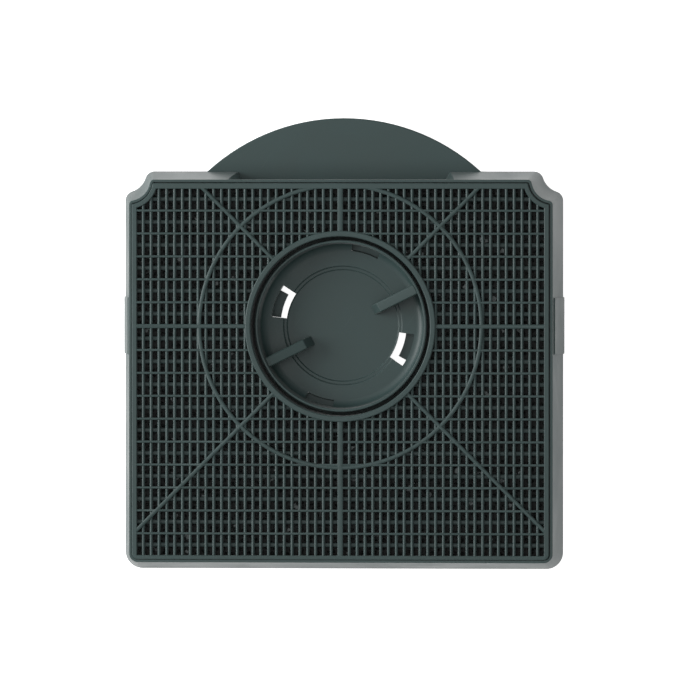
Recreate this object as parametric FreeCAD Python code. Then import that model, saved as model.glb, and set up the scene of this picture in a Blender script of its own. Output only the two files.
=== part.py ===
import FreeCAD, Part
import math
import os

# Cooker hood carbon filter, lying on its back with the front grille up.
# Origin: the hub's axis in the back plane. X across, Y towards the flange, Z out of the front.
# Sizes are in millimetres and angles in degrees, counted from X towards Y.

# Rear housing
CASE_WIDTH = 240.0
CASE_TOP = 84.1
CASE_BOTTOM = 133.3
CASE_DEPTH = 28.6
SKIRT_FLARE = 4.4
SKIRT_WALL = 1.3
CASE_WALL = 1.4
FLOOR_THICKNESS = 2.0
CORNER_RADIUS = 9.3
NOTCH_RADIUS = 11.6
NOTCH_ROUND = 5.2
NOTCH_ROUND_RIM = 2.4
SMALLEST_ROUND = 0.4
GROOVE_MARGIN = 2.0
GAP_HALF_BACK = 58.0
GAP_HALF_RIM = 62.0
GAP_RAMP_BACK = 2.6
GAP_RAMP_RIM = 0.6
PAD_LENGTH = 31.0
PAD_PROUD = 0.7
PAD_RIM_MARGIN = 3.0

# Flange plate
FLANGE_RADIUS = 110.8
FLANGE_CENTRE = 2.4
FLANGE_THICKNESS = 2.0
FLANGE_BEVEL = 0.5

# Well, hub seat and floor grating of the housing
WELL_GAP = 2.2
WELL_WALL = 1.6
SEAT_THICKNESS = 1.8
STOP_WIDTH = 3.0
STOP_PLAY = 1.0
STOP_DEPTH = 2.0
ENTRY_TURN = 58.0
ENTRY_PLAY = 1.5
GRATING_RADIUS = 98.0
GRATING_MARGIN = 4.0
GRATING_SLOT = 3.0
GRATING_WEB = 6.0
GRATING_RIB = 3.0
GRATING_BAND = 60.0
SHORTEST_SLOT = 4.0

# Front grille
LID_PROUD = 0.6
LID_DEPTH = 3.8
LID_CLEARANCE = 0.35
LEDGE_WIDTH = 1.1
LID_BORDER = 2.0
NOTCH_BORDER = 2.5
SLAT_WIDTH = 1.6
SLOT_WIDTH = 2.68
CENTRE_RIB = 2.9
CROSSBAR_WIDTH = 1.2
CROSSBAR_DEPTH = 1.2
CROSSBAR_RELIEF = 0.2
CELL_HEIGHT = 11.3
CROSS_RIB = 2.2
RING_RADIUS = 77.0
RING_WIDTH = 2.1
DIAGONAL_WIDTH = 2.0
DIAGONAL_ANGLE = 45.0
COLLAR_WIDTH = 3.0
COLLAR_PROUD = 0.8

# Carbon bed
BED_HEADROOM = 0.9
BED_CLEARANCE = 0.3

# Twist hub
HUB_RIM_RADIUS = 46.8
HUB_RIM_DROP = 3.5
HUB_RIM_WIDTH = 1.4
HUB_DRAFT = 1.0
HUB_ROUND = 3.2
HUB_FLOOR_DROP = 18.5
HUB_FLOOR_THICKNESS = 1.8
STEP_RADIUS = 32.4
STEP_DROP = 1.5
DISC_RADIUS = 30.5
DISC_DROP = 1.0
SOCKET_RADIUS = 39.4
SOCKET_WALL = 1.6
SOCKET_STANDOFF = 0.6
HUB_PLAY = 0.35
TONGUE_RADIUS = 34.5
TONGUE_THICKNESS = 2.0
TONGUE_HEIGHT = 3.0
TONGUE_START = 151.0
TONGUE_SPAN = 22.0
WINDOW_INNER = 30.9
WINDOW_START = 146.0
WINDOW_SPAN = 27.0
LUG_REACH = 3.6
LUG_THICKNESS = 2.0
LUG_START = 62.5
LUG_SPAN = 20.8
SLOT_RISE = 6.0
HUB_TRAVEL = 26.35
GRIP_ANGLE = 26.35
GRIP_WIDTH = 5.5
GRIP_WALL = 1.5
GRIP_RIDGE_RADIUS = 22.2
GRIP_FOOT_RADIUS = 18.3
GRIP_RIM_DROP = 2.0
GRIP_RIDGE_DROP = 6.5

# Sizes that follow from the ones above
RIM_HALF = CASE_WIDTH / 2 - SKIRT_FLARE
RIM_TOP = CASE_TOP - SKIRT_FLARE
RIM_BOTTOM = CASE_BOTTOM - SKIRT_FLARE
LID_TOP = CASE_DEPTH + LID_PROUD
LEDGE_HEIGHT = LID_TOP - LID_DEPTH
COLLAR_TOP = LID_TOP + COLLAR_PROUD
CROSSBAR_FOOT = LID_TOP - CROSSBAR_DEPTH
SLAT_TOP = CROSSBAR_FOOT - CROSSBAR_RELIEF
WELL_RADIUS = HUB_RIM_RADIUS + WELL_GAP
COLLAR_RADIUS = WELL_RADIUS + COLLAR_WIDTH
LID_INSET = CASE_WALL + LID_CLEARANCE
HUB_RIM = COLLAR_TOP - HUB_RIM_DROP
HUB_FLOOR = COLLAR_TOP - HUB_FLOOR_DROP
HUB_UNDERSIDE = HUB_FLOOR - HUB_FLOOR_THICKNESS
DISC_TOP = HUB_FLOOR - STEP_DROP - DISC_DROP
DISC_UNDERSIDE = DISC_TOP - HUB_FLOOR_THICKNESS
SEAT_TOP = HUB_UNDERSIDE - HUB_PLAY
SEAT_UNDERSIDE = SEAT_TOP - SEAT_THICKNESS
SOCKET_OUTER = SOCKET_RADIUS + SOCKET_WALL
SEAT_RADIUS = SOCKET_OUTER + HUB_PLAY
LUG_RADIUS = SOCKET_OUTER + LUG_REACH
LUG_TOP = SEAT_UNDERSIDE - HUB_PLAY
OVERCUT = 1.0
HALF_TURN = 180.0
UP = FreeCAD.Vector(0, 0, 1)
ORIGIN = FreeCAD.Vector(0, 0, 0)


def point(x, y, z=0.0):
    return FreeCAD.Vector(x, y, z)


def polar(radius, angle, z=0.0):
    turn = math.radians(angle)
    return point(radius * math.cos(turn), radius * math.sin(turn), z)


def prism(wire, bottom, top):
    face = Part.Face(wire)
    face.translate(UP * bottom)
    return face.extrude(UP * (top - bottom))


def disc(radius, bottom, top):
    return Part.makeCylinder(radius, top - bottom, point(0, 0, bottom))


def tube(inner, outer, bottom, top):
    return disc(outer, bottom, top).cut(disc(inner, bottom - OVERCUT, top + OVERCUT))


def block(x_low, x_high, y_low, y_high, bottom, top):
    return Part.makeBox(x_high - x_low, y_high - y_low, top - bottom, point(x_low, y_low, bottom))


def sector(inner, outer, start, span, bottom, top):
    # Ring sector from the angle start, over the angle span
    middle = start + span / 2
    end = start + span
    edges = [
        Part.Arc(polar(outer, start), polar(outer, middle), polar(outer, end)).toShape(),
        Part.LineSegment(polar(outer, end), polar(inner, end)).toShape(),
        Part.Arc(polar(inner, end), polar(inner, middle), polar(inner, start)).toShape(),
        Part.LineSegment(polar(inner, start), polar(outer, start)).toShape(),
    ]
    return prism(Part.Wire(edges), bottom, top)


def both_sides(make, *sizes):
    # The same feature at its angle and half a turn further on
    first = make(*sizes)
    second = first.copy()
    second.rotate(ORIGIN, UP, HALF_TURN)
    return [first, second]


def blend(at_back, at_rim, height):
    return at_back + (at_rim - at_back) * height / CASE_DEPTH


def notch_points(half, top, inset, height):
    # Right-hand scalloped corner: round, hollow arc about the square corner, round
    hollow = NOTCH_RADIUS + inset
    bead = max(blend(NOTCH_ROUND, NOTCH_ROUND_RIM, height) - inset, SMALLEST_ROUND)
    reach = math.sqrt((hollow + bead) ** 2 - (inset + bead) ** 2)
    share = hollow / (hollow + bead)
    upper = point(half - reach, top - inset - bead)
    lower = point(half - inset - bead, top - reach)
    corner = point(half, top)
    hollow_start = corner + (upper - corner) * share
    hollow_end = corner + (lower - corner) * share
    diagonal = point(-1, -1).normalize() * hollow
    return {
        "upper_line": point(upper.x, top - inset),
        "upper_mid": bead_middle(upper, point(upper.x, top - inset), hollow_start, bead),
        "hollow_start": hollow_start,
        "hollow_mid": corner + diagonal,
        "hollow_end": hollow_end,
        "lower_mid": bead_middle(lower, hollow_end, point(half - inset, lower.y), bead),
        "lower_line": point(half - inset, lower.y),
    }


def bead_middle(centre, first, last, radius):
    return centre + ((first - centre).normalize() + (last - centre).normalize()).normalize() * radius


def mirrored(spot):
    return point(-spot.x, spot.y)


def notch_edges(spots):
    return [
        Part.Arc(spots["upper_line"], spots["upper_mid"], spots["hollow_start"]).toShape(),
        Part.Arc(spots["hollow_start"], spots["hollow_mid"], spots["hollow_end"]).toShape(),
        Part.Arc(spots["hollow_end"], spots["lower_mid"], spots["lower_line"]).toShape(),
    ]


def lower_corner(half, bottom, radius):
    # Right-hand lower corner, from the side to the bottom edge
    start = point(half, -bottom + radius)
    middle = point(half - radius, -bottom + radius) + point(1, -1).normalize() * radius
    return [start, middle, point(half - radius, -bottom)]


def top_points(top, inset, height):
    # Where the flared skirt ends beside the flange, from left to right
    end = blend(GAP_HALF_BACK, GAP_HALF_RIM, height) + inset
    foot = end - blend(GAP_RAMP_BACK, GAP_RAMP_RIM, height)
    right = [point(foot, RIM_TOP - inset), point(end, top - inset)]
    return [mirrored(right[1]), mirrored(right[0])] + right


def case_outline(height, inset):
    # Outline of the flared case at a height, drawn in by inset
    spread = SKIRT_FLARE * (1 - height / CASE_DEPTH)
    half = RIM_HALF + spread
    top = RIM_TOP + spread
    bottom = RIM_BOTTOM + spread
    radius = max(CORNER_RADIUS - SKIRT_FLARE + spread - inset, SMALLEST_ROUND)
    right = notch_points(half, top, inset, height)
    left = {name: mirrored(spot) for name, spot in right.items()}
    low_right = lower_corner(half - inset, bottom - inset, radius)
    low_left = [mirrored(spot) for spot in reversed(low_right)]
    steps = [left["upper_line"]] + top_points(top, inset, height) + [right["upper_line"]]
    edges = [Part.LineSegment(a, b).toShape() for a, b in zip(steps, steps[1:])]
    edges += notch_edges(right)
    edges.append(Part.LineSegment(right["lower_line"], low_right[0]).toShape())
    edges.append(Part.Arc(*low_right).toShape())
    edges.append(Part.LineSegment(low_right[2], low_left[0]).toShape())
    edges.append(Part.Arc(*low_left).toShape())
    edges.append(Part.LineSegment(low_left[2], left["lower_line"]).toShape())
    edges += notch_edges(left)
    wire = Part.Wire(Part.__sortEdges__(edges))
    wire.translate(UP * height)
    return wire


def plain_outline(inset):
    # Outline of the rim, drawn in by inset, in the XY plane
    wire = case_outline(CASE_DEPTH, inset)
    wire.translate(UP * -CASE_DEPTH)
    return wire


def flared_block(inset):
    return Part.makeLoft([case_outline(0, inset), case_outline(CASE_DEPTH, inset)], True, True)


def wedge(start, end, outward):
    # Groove between the upright wall and the flared skirt, open at the back
    mouth = SKIRT_FLARE - SKIRT_WALL
    depth = CASE_DEPTH * mouth / SKIRT_FLARE
    foot = UP * -OVERCUT
    wider = outward * (mouth * (1 + OVERCUT / depth))
    corners = [start + foot, start + wider + foot, start + UP * depth]
    return Part.Face(Part.makePolygon(corners + corners[:1])).extrude(end - start)


def skirt_grooves():
    clear = NOTCH_RADIUS + NOTCH_ROUND + SKIRT_FLARE
    round_off = CORNER_RADIUS + SKIRT_FLARE
    upper = RIM_TOP - clear
    lower = -RIM_BOTTOM + round_off
    side = point(RIM_HALF, 0)
    below = point(0, -RIM_BOTTOM)
    across = point(RIM_HALF - round_off, 0)
    above = point(GAP_HALF_RIM + GROOVE_MARGIN, RIM_TOP)
    above_end = point(RIM_HALF - clear, RIM_TOP)
    grooves = [wedge(below - across, below + across, point(0, -1))]
    for sign in (1, -1):
        out = point(sign, 0)
        grooves.append(wedge(side * sign + point(0, lower), side * sign + point(0, upper), out))
        grooves.append(wedge(point(sign * above.x, above.y), point(sign * above_end.x, above_end.y), point(0, 1)))
    return grooves


def flange_plate():
    plate = Part.makeCylinder(FLANGE_RADIUS, FLANGE_THICKNESS, point(0, FLANGE_CENTRE, 0))
    front_edge = [edge for edge in plate.Edges if edge.BoundBox.ZMin > FLANGE_THICKNESS / 2]
    plate = plate.makeChamfer(FLANGE_BEVEL, front_edge)
    reach = FLANGE_RADIUS + OVERCUT
    inside = RIM_TOP - CASE_WALL
    keep = block(-reach, reach, inside, FLANGE_CENTRE + reach, -OVERCUT, FLANGE_THICKNESS + OVERCUT)
    return plate.common(keep)


def side_pads():
    # Low pads on both side skirts, level with the hub
    height = CASE_DEPTH - PAD_RIM_MARGIN
    inner = SKIRT_WALL / 2
    at_back = CASE_WIDTH / 2
    at_top = RIM_HALF + SKIRT_FLARE * (1 - height / CASE_DEPTH)
    corners = [
        point(at_back - inner, -PAD_LENGTH / 2, 0),
        point(at_back + PAD_PROUD, -PAD_LENGTH / 2, 0),
        point(at_top + PAD_PROUD, -PAD_LENGTH / 2, height),
        point(at_top - inner, -PAD_LENGTH / 2, height),
    ]
    pad = Part.Face(Part.makePolygon(corners + corners[:1])).extrude(point(0, PAD_LENGTH, 0))
    return both_sides(lambda: pad)


def band_spans(low, high, band, rib):
    # Divides the stretch from low to high into slots of about one band with ribs between
    count = max(int((high - low) / band), 1)
    length = (high - low - rib * (count - 1)) / count
    return [(low + k * (length + rib), low + k * (length + rib) + length) for k in range(count)]


def grating_column(x):
    # Clear stretches of one column of the floor grating
    edge = abs(x) + GRATING_SLOT / 2
    nearest = max(abs(x) - GRATING_SLOT / 2, 0)
    outer = GRATING_RADIUS ** 2 - edge ** 2
    if outer <= 0:
        return []
    reach = math.sqrt(outer)
    limit = CASE_WALL + LEDGE_WIDTH + GRATING_MARGIN
    top = min(reach, RIM_TOP - limit)
    bottom = -min(reach, RIM_BOTTOM - limit)
    well = WELL_RADIUS + WELL_WALL + GRATING_MARGIN
    half_gap = GRATING_RIB / 2
    if nearest < well:
        half_gap = max(math.sqrt(well ** 2 - nearest ** 2), half_gap)
    stretches = [(half_gap, top), (bottom, -half_gap)]
    return [pair for pair in stretches if pair[1] - pair[0] > SHORTEST_SLOT]


def grating_slots():
    pitch = GRATING_SLOT + GRATING_WEB
    side = min(GRATING_RADIUS, RIM_HALF - CASE_WALL - LEDGE_WIDTH - GRATING_MARGIN)
    count = int((side - GRATING_SLOT / 2) / pitch)
    slots = []
    for k in range(-count, count + 1):
        for low, high in grating_column(k * pitch):
            for start, end in band_spans(low, high, GRATING_BAND, GRATING_RIB):
                left = k * pitch - GRATING_SLOT / 2
                slots.append(block(left, left + GRATING_SLOT, start, end, -OVERCUT, FLOOR_THICKNESS + OVERCUT))
    return slots


def hub_seat():
    # Ring that the hub turns on, with two entries for its lugs and two pairs of stops below
    ring = tube(SEAT_RADIUS, WELL_RADIUS + WELL_WALL / 2, SEAT_UNDERSIDE, SEAT_TOP)
    entry = LUG_START + ENTRY_TURN - ENTRY_PLAY
    entries = both_sides(sector, SEAT_RADIUS - OVERCUT, LUG_RADIUS + HUB_PLAY, entry,
                         LUG_SPAN + 2 * ENTRY_PLAY, SEAT_UNDERSIDE - OVERCUT, SEAT_TOP + OVERCUT)
    rest_stop = LUG_START + LUG_SPAN + STOP_PLAY
    lock_stop = LUG_START - HUB_TRAVEL - STOP_PLAY - STOP_WIDTH
    stops = []
    for start in (rest_stop, lock_stop):
        stops += both_sides(sector, SEAT_RADIUS, WELL_RADIUS + WELL_WALL / 2, start, STOP_WIDTH,
                            SEAT_UNDERSIDE - STOP_DEPTH, SEAT_UNDERSIDE)
    return ring.cut(entries).fuse(stops)


def rear_housing():
    well_outer = WELL_RADIUS + WELL_WALL
    body = flared_block(0)
    cavity = prism(plain_outline(CASE_WALL + LEDGE_WIDTH), FLOOR_THICKNESS, CASE_DEPTH + OVERCUT)
    lid_seat = prism(plain_outline(CASE_WALL), LEDGE_HEIGHT, CASE_DEPTH + OVERCUT)
    body = body.cut([cavity, lid_seat] + skirt_grooves())
    body = body.fuse([flange_plate(), disc(well_outer, 0, LEDGE_HEIGHT)] + side_pads())
    body = body.cut([disc(WELL_RADIUS, -OVERCUT, LEDGE_HEIGHT + OVERCUT)] + grating_slots())
    return body.fuse(hub_seat()).removeSplitter()


def grille_field():
    # Flat field of the grille inside its border, clear of the collar and the scalloped corners
    edge = -slot_columns()[0]
    field = flat_bar(-edge, edge, -field_edge(row_count(RIM_BOTTOM)), field_edge(row_count(RIM_TOP)))
    notch = flat_disc(NOTCH_RADIUS + LID_INSET + NOTCH_BORDER)
    notch.translate(point(RIM_HALF, RIM_TOP))
    other = notch.copy()
    other.translate(point(-2 * RIM_HALF, 0))
    return field.cut([notch, other, flat_disc(COLLAR_RADIUS)])


def slot_columns():
    # Left edges of the grille's slots, the same number on each side of the centre rib
    field = RIM_HALF - LID_INSET - LID_BORDER - CENTRE_RIB / 2
    pitch = SLOT_WIDTH + SLAT_WIDTH
    count = int((field + SLAT_WIDTH) / pitch)
    right = [CENTRE_RIB / 2 + k * pitch for k in range(count)]
    return [-edge - SLOT_WIDTH for edge in reversed(right)] + right


def row_count(reach):
    field = reach - LID_INSET - LID_BORDER - CROSS_RIB / 2
    return int((field + CROSSBAR_WIDTH) / (CELL_HEIGHT + CROSSBAR_WIDTH))


def field_edge(rows):
    return CROSS_RIB / 2 + rows * CELL_HEIGHT + (rows - 1) * CROSSBAR_WIDTH


def flat_bar(x_low, x_high, y_low, y_high):
    corners = [point(x_low, y_low), point(x_high, y_low), point(x_high, y_high), point(x_low, y_high)]
    return Part.Face(Part.makePolygon(corners + corners[:1]))


def flat_disc(radius):
    return Part.Face(Part.Wire(Part.makeCircle(radius)))


def raised(face, bottom, top):
    body = face.extrude(UP * (top - bottom))
    body.translate(UP * bottom)
    return body


def slat_layer():
    # Lid plate with one full-height slot between each two slats
    field = grille_field()
    bottom = -field_edge(row_count(RIM_BOTTOM))
    top = field_edge(row_count(RIM_TOP))
    slots = []
    for left in slot_columns():
        slot = flat_bar(left, left + SLOT_WIDTH, bottom, top).common(field)
        slots.append(raised(slot, LEDGE_HEIGHT - OVERCUT, SLAT_TOP + OVERCUT))
    return prism(plain_outline(LID_INSET), LEDGE_HEIGHT, SLAT_TOP).cut(slots)


def field_limits():
    # Half width, lower end and upper end of the bars, a little way into the border
    edge = OVERCUT - slot_columns()[0]
    return edge, -field_edge(row_count(RIM_BOTTOM)) - OVERCUT, field_edge(row_count(RIM_TOP)) + OVERCUT


def crossbars():
    edge = field_limits()[0]
    bars = []
    for rows, side in ((row_count(RIM_TOP), 1), (row_count(RIM_BOTTOM), -1)):
        for k in range(1, rows):
            near = side * field_edge(k)
            far = near + side * CROSSBAR_WIDTH
            bars.append(flat_bar(-edge, edge, min(near, far), max(near, far)))
    return bars


def centre_ribs():
    edge, bottom, top = field_limits()
    return [
        flat_bar(-edge, edge, -CROSS_RIB / 2, CROSS_RIB / 2),
        flat_bar(-CENTRE_RIB / 2, CENTRE_RIB / 2, bottom, top),
    ]


def diagonals():
    edge, bottom, top = field_limits()
    field = flat_bar(-edge, edge, bottom, top)
    reach = 2 * max(edge, -bottom)
    bars = []
    for turn in (DIAGONAL_ANGLE, HALF_TURN - DIAGONAL_ANGLE):
        bar = flat_bar(-reach, reach, -DIAGONAL_WIDTH / 2, DIAGONAL_WIDTH / 2)
        bar.rotate(ORIGIN, UP, turn)
        bars.append(bar.common(field))
    return bars


def ring_rib():
    ring = tube(RING_RADIUS - RING_WIDTH / 2, RING_RADIUS + RING_WIDTH / 2, CROSSBAR_FOOT, LID_TOP)
    above = field_limits()[2]
    return ring.cut(block(-CASE_WIDTH, CASE_WIDTH, above, CASE_WIDTH, 0, COLLAR_TOP))


def crossbar_layer():
    # Border and collar with the crossbars, ring rib and diagonals in front of the slats
    border = prism(plain_outline(LID_INSET), LEDGE_HEIGHT, LID_TOP)
    border = border.cut(raised(grille_field(), LEDGE_HEIGHT - OVERCUT, LID_TOP + OVERCUT))
    bars = [raised(bar, CROSSBAR_FOOT, LID_TOP) for bar in crossbars() + diagonals()]
    ribs = [raised(rib, LEDGE_HEIGHT, LID_TOP) for rib in centre_ribs()]
    collar = disc(COLLAR_RADIUS, LEDGE_HEIGHT, COLLAR_TOP)
    return border.fuse([ring_rib(), collar] + bars + ribs).removeSplitter()


def front_grille():
    body = crossbar_layer().fuse(slat_layer())
    return body.cut(disc(WELL_RADIUS, LEDGE_HEIGHT - OVERCUT, COLLAR_TOP + OVERCUT)).removeSplitter()


def carbon_bed():
    inset = CASE_WALL + LEDGE_WIDTH + BED_CLEARANCE
    slab = prism(plain_outline(inset), FLOOR_THICKNESS, LEDGE_HEIGHT - BED_HEADROOM)
    return slab.cut(disc(WELL_RADIUS + WELL_WALL + BED_CLEARANCE, 0, COLLAR_TOP))


def dish_profile(wall_thickness, floor_thickness):
    # Solid of revolution inside the dish's inner face, or inside its outer face when thicknesses are given
    rim = HUB_RIM_RADIUS - HUB_RIM_WIDTH + wall_thickness
    wall = rim if wall_thickness else rim - HUB_DRAFT
    foot = HUB_RIM_RADIUS - HUB_RIM_WIDTH - HUB_DRAFT - HUB_ROUND + wall_thickness
    floor = HUB_FLOOR - floor_thickness
    corners = [
        point(0, 0, HUB_RIM),
        point(rim, 0, HUB_RIM),
        point(wall, 0, floor + HUB_ROUND),
        point(foot, 0, floor),
        point(0, 0, floor),
    ]
    return Part.Face(Part.makePolygon(corners + corners[:1])).revolve(ORIGIN, UP, 2 * HALF_TURN)


def grip_web(half_width, shrink):
    # Radial finger grip, as a profile in the X-Z plane drawn in by shrink
    rim_top = HUB_RIM - GRIP_RIM_DROP - shrink
    ridge_top = HUB_RIM - GRIP_RIDGE_DROP - shrink
    outer = HUB_RIM_RADIUS - HUB_RIM_WIDTH - HUB_DRAFT / 2 - shrink
    low = DISC_TOP - HUB_FLOOR_THICKNESS / 2
    high = HUB_FLOOR - HUB_FLOOR_THICKNESS / 2
    if shrink:
        low = high = DISC_UNDERSIDE - OVERCUT
        outer = SOCKET_RADIUS - shrink
    corners = [
        point(GRIP_FOOT_RADIUS + shrink, -half_width, low),
        point(GRIP_FOOT_RADIUS + shrink, -half_width, DISC_TOP),
        point(GRIP_RIDGE_RADIUS + shrink, -half_width, ridge_top),
        point(outer, -half_width, rim_top),
        point(outer, -half_width, high),
        point(STEP_RADIUS, -half_width, high),
        point(DISC_RADIUS, -half_width, low),
    ]
    if shrink:
        corners = corners[:5]
    web = Part.Face(Part.makePolygon(corners + corners[:1])).extrude(point(0, 2 * half_width, 0))
    web.rotate(ORIGIN, UP, GRIP_ANGLE)
    return web


def hub_dish():
    outer = dish_profile(HUB_RIM_WIDTH, HUB_FLOOR_THICKNESS)
    outer = outer.fuse(disc(STEP_RADIUS + HUB_FLOOR_THICKNESS, DISC_UNDERSIDE, HUB_UNDERSIDE))
    steps = [disc(STEP_RADIUS, HUB_FLOOR - STEP_DROP, HUB_RIM), disc(DISC_RADIUS, DISC_TOP, HUB_RIM)]
    return outer.cut([dish_profile(0, 0)] + steps)


def twist_hub():
    body = hub_dish()
    socket = tube(SOCKET_RADIUS, SOCKET_OUTER, SOCKET_STANDOFF, HUB_FLOOR - HUB_FLOOR_THICKNESS / 2)
    lugs = both_sides(sector, SOCKET_RADIUS + SOCKET_WALL / 2, LUG_RADIUS, LUG_START, LUG_SPAN,
                      LUG_TOP - LUG_THICKNESS, LUG_TOP)
    tongues = both_sides(sector, TONGUE_RADIUS, SOCKET_RADIUS + SOCKET_WALL / 2, TONGUE_START,
                         TONGUE_SPAN, TONGUE_HEIGHT, TONGUE_HEIGHT + TONGUE_THICKNESS)
    windows = both_sides(sector, WINDOW_INNER, SOCKET_RADIUS, WINDOW_START, WINDOW_SPAN,
                         DISC_UNDERSIDE - OVERCUT, HUB_FLOOR + OVERCUT)
    slots = both_sides(sector, SOCKET_OUTER, LUG_RADIUS, LUG_START, LUG_SPAN,
                       HUB_UNDERSIDE - OVERCUT, HUB_FLOOR + SLOT_RISE)
    grips = both_sides(grip_web, GRIP_WIDTH / 2, 0)
    cores = both_sides(grip_web, GRIP_WIDTH / 2 - GRIP_WALL, GRIP_WALL)
    body = body.cut(windows + slots)
    body = body.fuse([socket] + lugs + tongues + grips)
    return body.cut(cores).removeSplitter()


def export(name, shape):
    solid = shape.Solids[0] if len(shape.Solids) == 1 else shape
    solid.exportStep(os.path.join("parts", name + ".step"))


os.makedirs("parts", exist_ok=True)
export("rear_housing", rear_housing())
export("front_grille", front_grille())
export("carbon_bed", carbon_bed())
export("twist_hub", twist_hub())
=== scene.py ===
import logging
import math
from dataclasses import dataclass
from enum import Enum
from typing import Any, Sequence

import bmesh
import bpy
from mathutils import Matrix, Vector


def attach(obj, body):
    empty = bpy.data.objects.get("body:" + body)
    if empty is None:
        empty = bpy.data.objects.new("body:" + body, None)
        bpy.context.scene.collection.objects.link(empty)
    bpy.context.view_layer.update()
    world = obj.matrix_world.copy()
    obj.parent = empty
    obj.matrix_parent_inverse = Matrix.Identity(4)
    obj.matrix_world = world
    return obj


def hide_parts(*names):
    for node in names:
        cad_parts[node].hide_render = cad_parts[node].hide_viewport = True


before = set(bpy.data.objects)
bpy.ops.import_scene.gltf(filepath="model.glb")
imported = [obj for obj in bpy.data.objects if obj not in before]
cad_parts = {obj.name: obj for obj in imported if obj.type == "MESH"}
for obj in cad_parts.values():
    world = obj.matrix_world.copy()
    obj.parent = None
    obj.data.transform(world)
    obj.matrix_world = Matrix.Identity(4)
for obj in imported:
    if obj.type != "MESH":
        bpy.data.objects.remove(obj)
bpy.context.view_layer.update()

# Cooker hood carbon filter, lying on its back with the grille up. Sizes are in metres and angles in radians.
MM = 0.001
LOG = logging.getLogger("carbon_filter")

Spot = tuple[float, float]
Corner = tuple[float, float, float]


class Body(Enum):
    """The bodies that pieces ride on."""

    CASE = "case"
    HUB = "hub"


class Slot(Enum):
    """The record's material slots."""

    CASE_PLASTIC = "case_plastic"
    GRILLE_PLASTIC = "grille_plastic"
    HUB_PLASTIC = "hub_plastic"
    ACTIVE_CARBON = "active_carbon"


class Weld(Enum):
    """How a second solid changes the first."""

    ADD = "UNION"
    CUT = "DIFFERENCE"
    KEEP = "INTERSECT"


class Graph:
    """Short calls that add and link the nodes of one tree."""

    def __init__(self, tree: bpy.types.NodeTree) -> None:
        """Starts with an empty tree.

        Args:
            tree: The node tree to fill.
        """
        self.tree = tree
        tree.nodes.clear()

    def add(self, kind: str, values: dict[Any, Any] | None = None, **settings: Any) -> bpy.types.Node:
        """Adds a node.

        Args:
            kind: The node's type name.
            values: Values for its input sockets, by name or number.
            settings: Properties of the node itself.

        Returns:
            The new node.
        """
        node = self.tree.nodes.new(kind)
        for name, value in settings.items():
            setattr(node, name, value)
        for name, value in (values or {}).items():
            if isinstance(value, bpy.types.NodeSocket):
                self.tree.links.new(value, node.inputs[name])
            else:
                node.inputs[name].default_value = value
        return node

    def math(self, operation: str, *values: Any) -> bpy.types.NodeSocket:
        """Adds a Math node and returns its output.

        Args:
            operation: The node's operation.
            values: Numbers or sockets for its inputs, in order.

        Returns:
            The result's socket.
        """
        return self.add("ShaderNodeMath", dict(enumerate(values)), operation=operation).outputs[0]

    def ramp(self, factor: bpy.types.NodeSocket, low: float, high: float) -> bpy.types.NodeSocket:
        """Maps a stretch of a mask to 0 to 1, smoothly.

        Args:
            factor: The mask.
            low: The value that becomes 0.
            high: The value that becomes 1.

        Returns:
            The new mask's socket.
        """
        node = self.add("ShaderNodeMapRange", {"Value": factor, "From Min": low, "From Max": high},
                        interpolation_type="SMOOTHSTEP")
        return node.outputs["Result"]

    def mix(self, factor: Any, first: Any, second: Any) -> bpy.types.NodeSocket:
        """Mixes two colours.

        Args:
            factor: The second colour's share, a number or a socket.
            first: A colour or a socket.
            second: A colour or a socket.

        Returns:
            The mixed colour's socket.
        """
        node = self.add("ShaderNodeMix", data_type="RGBA")
        for number, value in ((0, factor), (6, first), (7, second)):
            if isinstance(value, bpy.types.NodeSocket):
                self.tree.links.new(value, node.inputs[number])
            else:
                node.inputs[number].default_value = value
        return node.outputs[2]


def named_tree(name: str, kind: str, inputs: Sequence[tuple[str, str]],
               outputs: Sequence[tuple[str, str]]) -> bpy.types.NodeTree:
    """Makes a node group with named sockets.

    Args:
        name: The group's name.
        kind: ShaderNodeTree or GeometryNodeTree.
        inputs: The input sockets, as name and type.
        outputs: The output sockets, as name and type.

    Returns:
        The group, with no nodes in it.
    """
    tree = bpy.data.node_groups.new(name, kind)
    for direction, sockets in (("INPUT", inputs), ("OUTPUT", outputs)):
        for socket, socket_type in sockets:
            tree.interface.new_socket(name=socket, in_out=direction, socket_type=socket_type)
    return tree


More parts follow.
